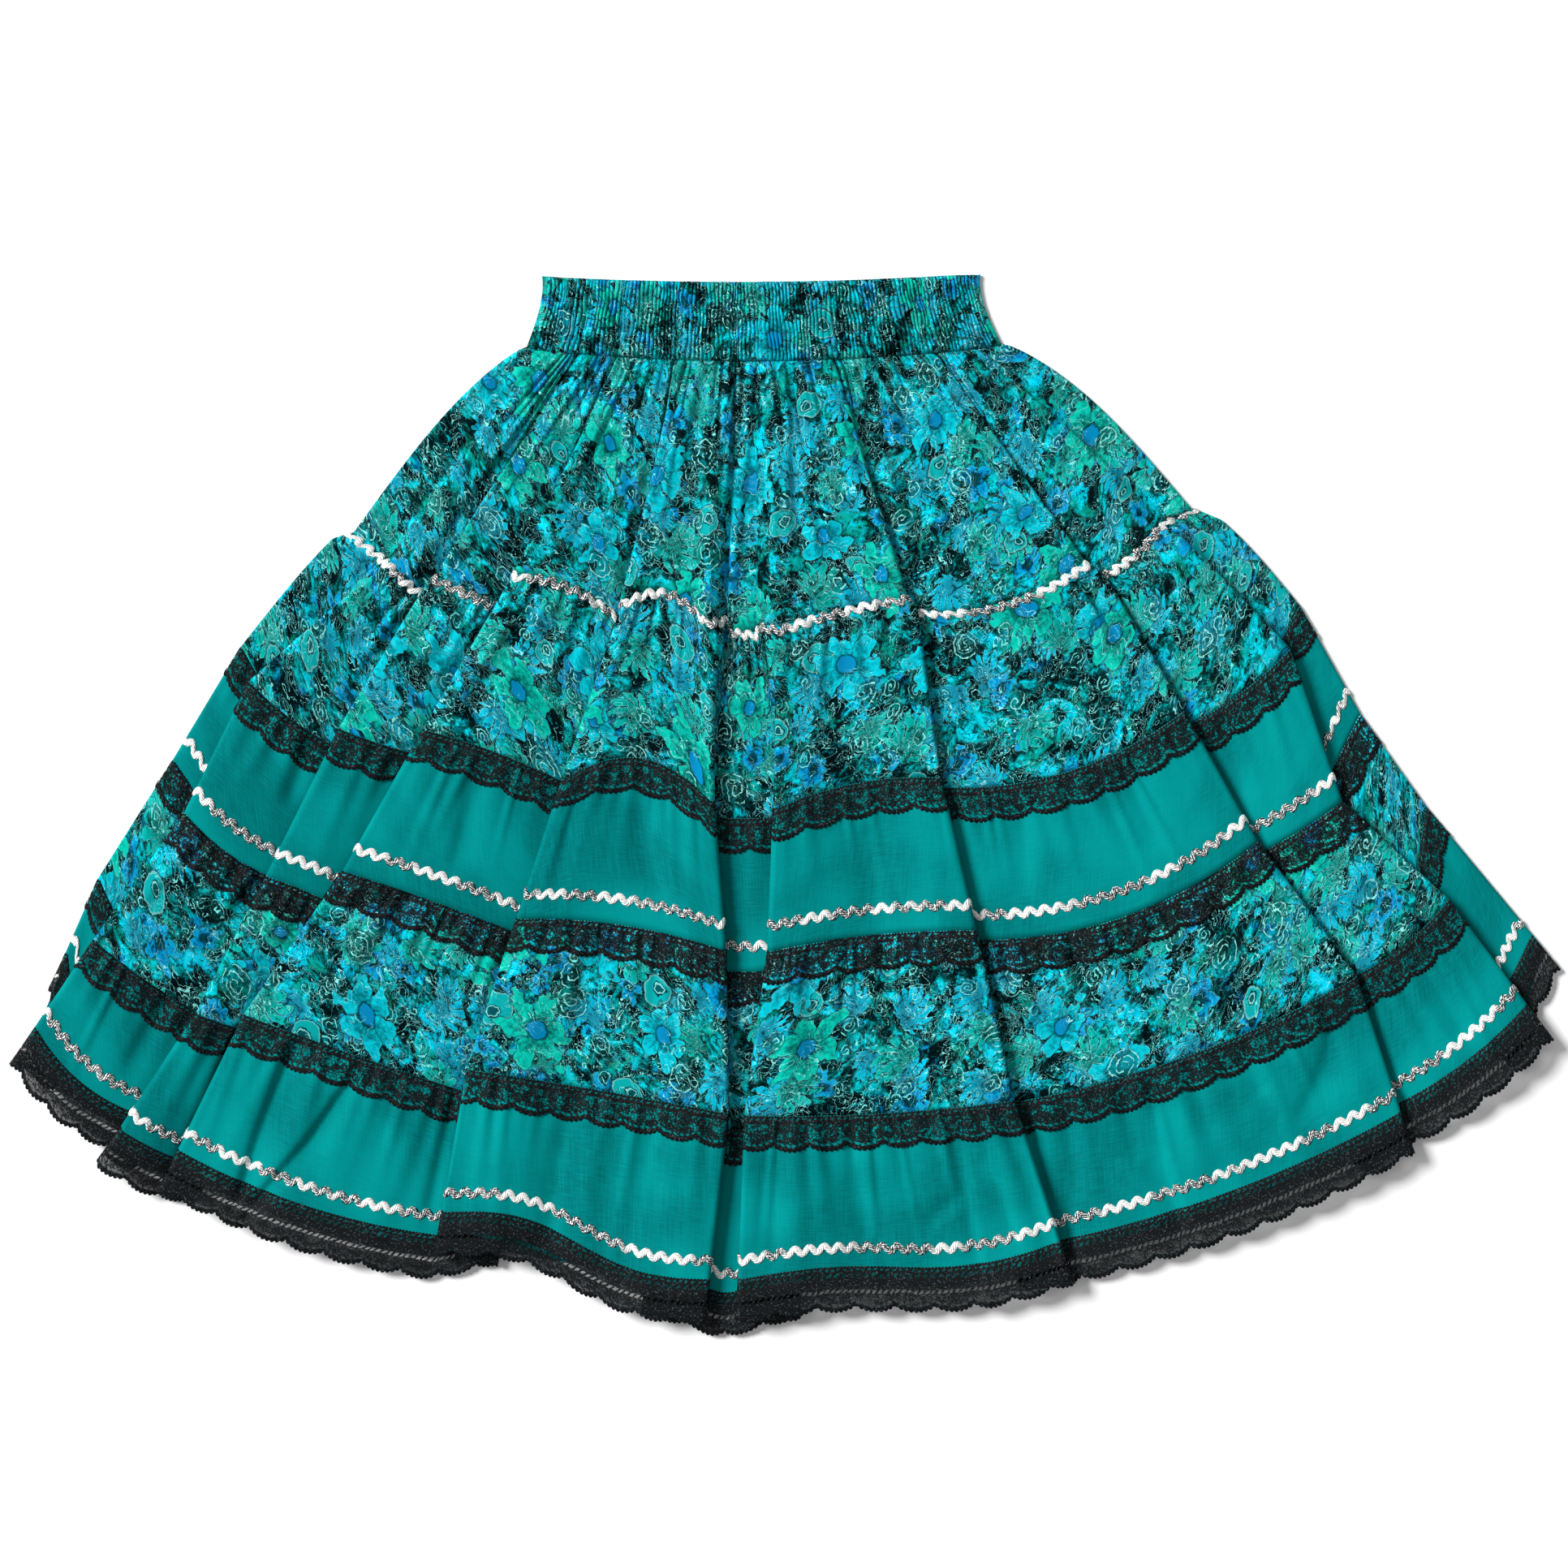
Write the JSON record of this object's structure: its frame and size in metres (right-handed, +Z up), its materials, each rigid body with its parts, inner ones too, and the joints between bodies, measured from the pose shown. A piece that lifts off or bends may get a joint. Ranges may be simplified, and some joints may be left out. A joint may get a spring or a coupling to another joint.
{
  "type": "square dance skirt",
  "caption": "Tiered square dance skirt laid flat: shirred elastic waist, printed and plain gathered tiers, black lace edgings and silver rickrack braid.",
  "frame": {"origin": "on the table, under the middle of the skirt's outline as it lies flat", "axes": "+Z up from the table, +Y toward the waist, +X to the right as seen from above with the front up"},
  "size_m": [1.1014, 0.7546, 0.0182],
  "materials": {
    "printed_cotton": "turquoise and green floral print on dark ground, matt cotton",
    "plain_cotton": "plain teal poly-cotton, matt with a faint sheen",
    "silver_rickrack": "metallic silver braid, sparkling",
    "black_lace": "black net lace, matt"
  },
  "bodies": {
    "root": {"waistband": "printed_cotton", "tier_1": "printed_cotton", "tier_2": "printed_cotton", "tier_3": "plain_cotton", "tier_4": "printed_cotton", "tier_5": "plain_cotton", "rickrack_1": "silver_rickrack", "rickrack_2": "silver_rickrack", "rickrack_3": "silver_rickrack", "lace_1": "black_lace", "lace_2": "black_lace", "lace_3": "black_lace", "lace_4": "black_lace"}
  },
  "joints": []
}
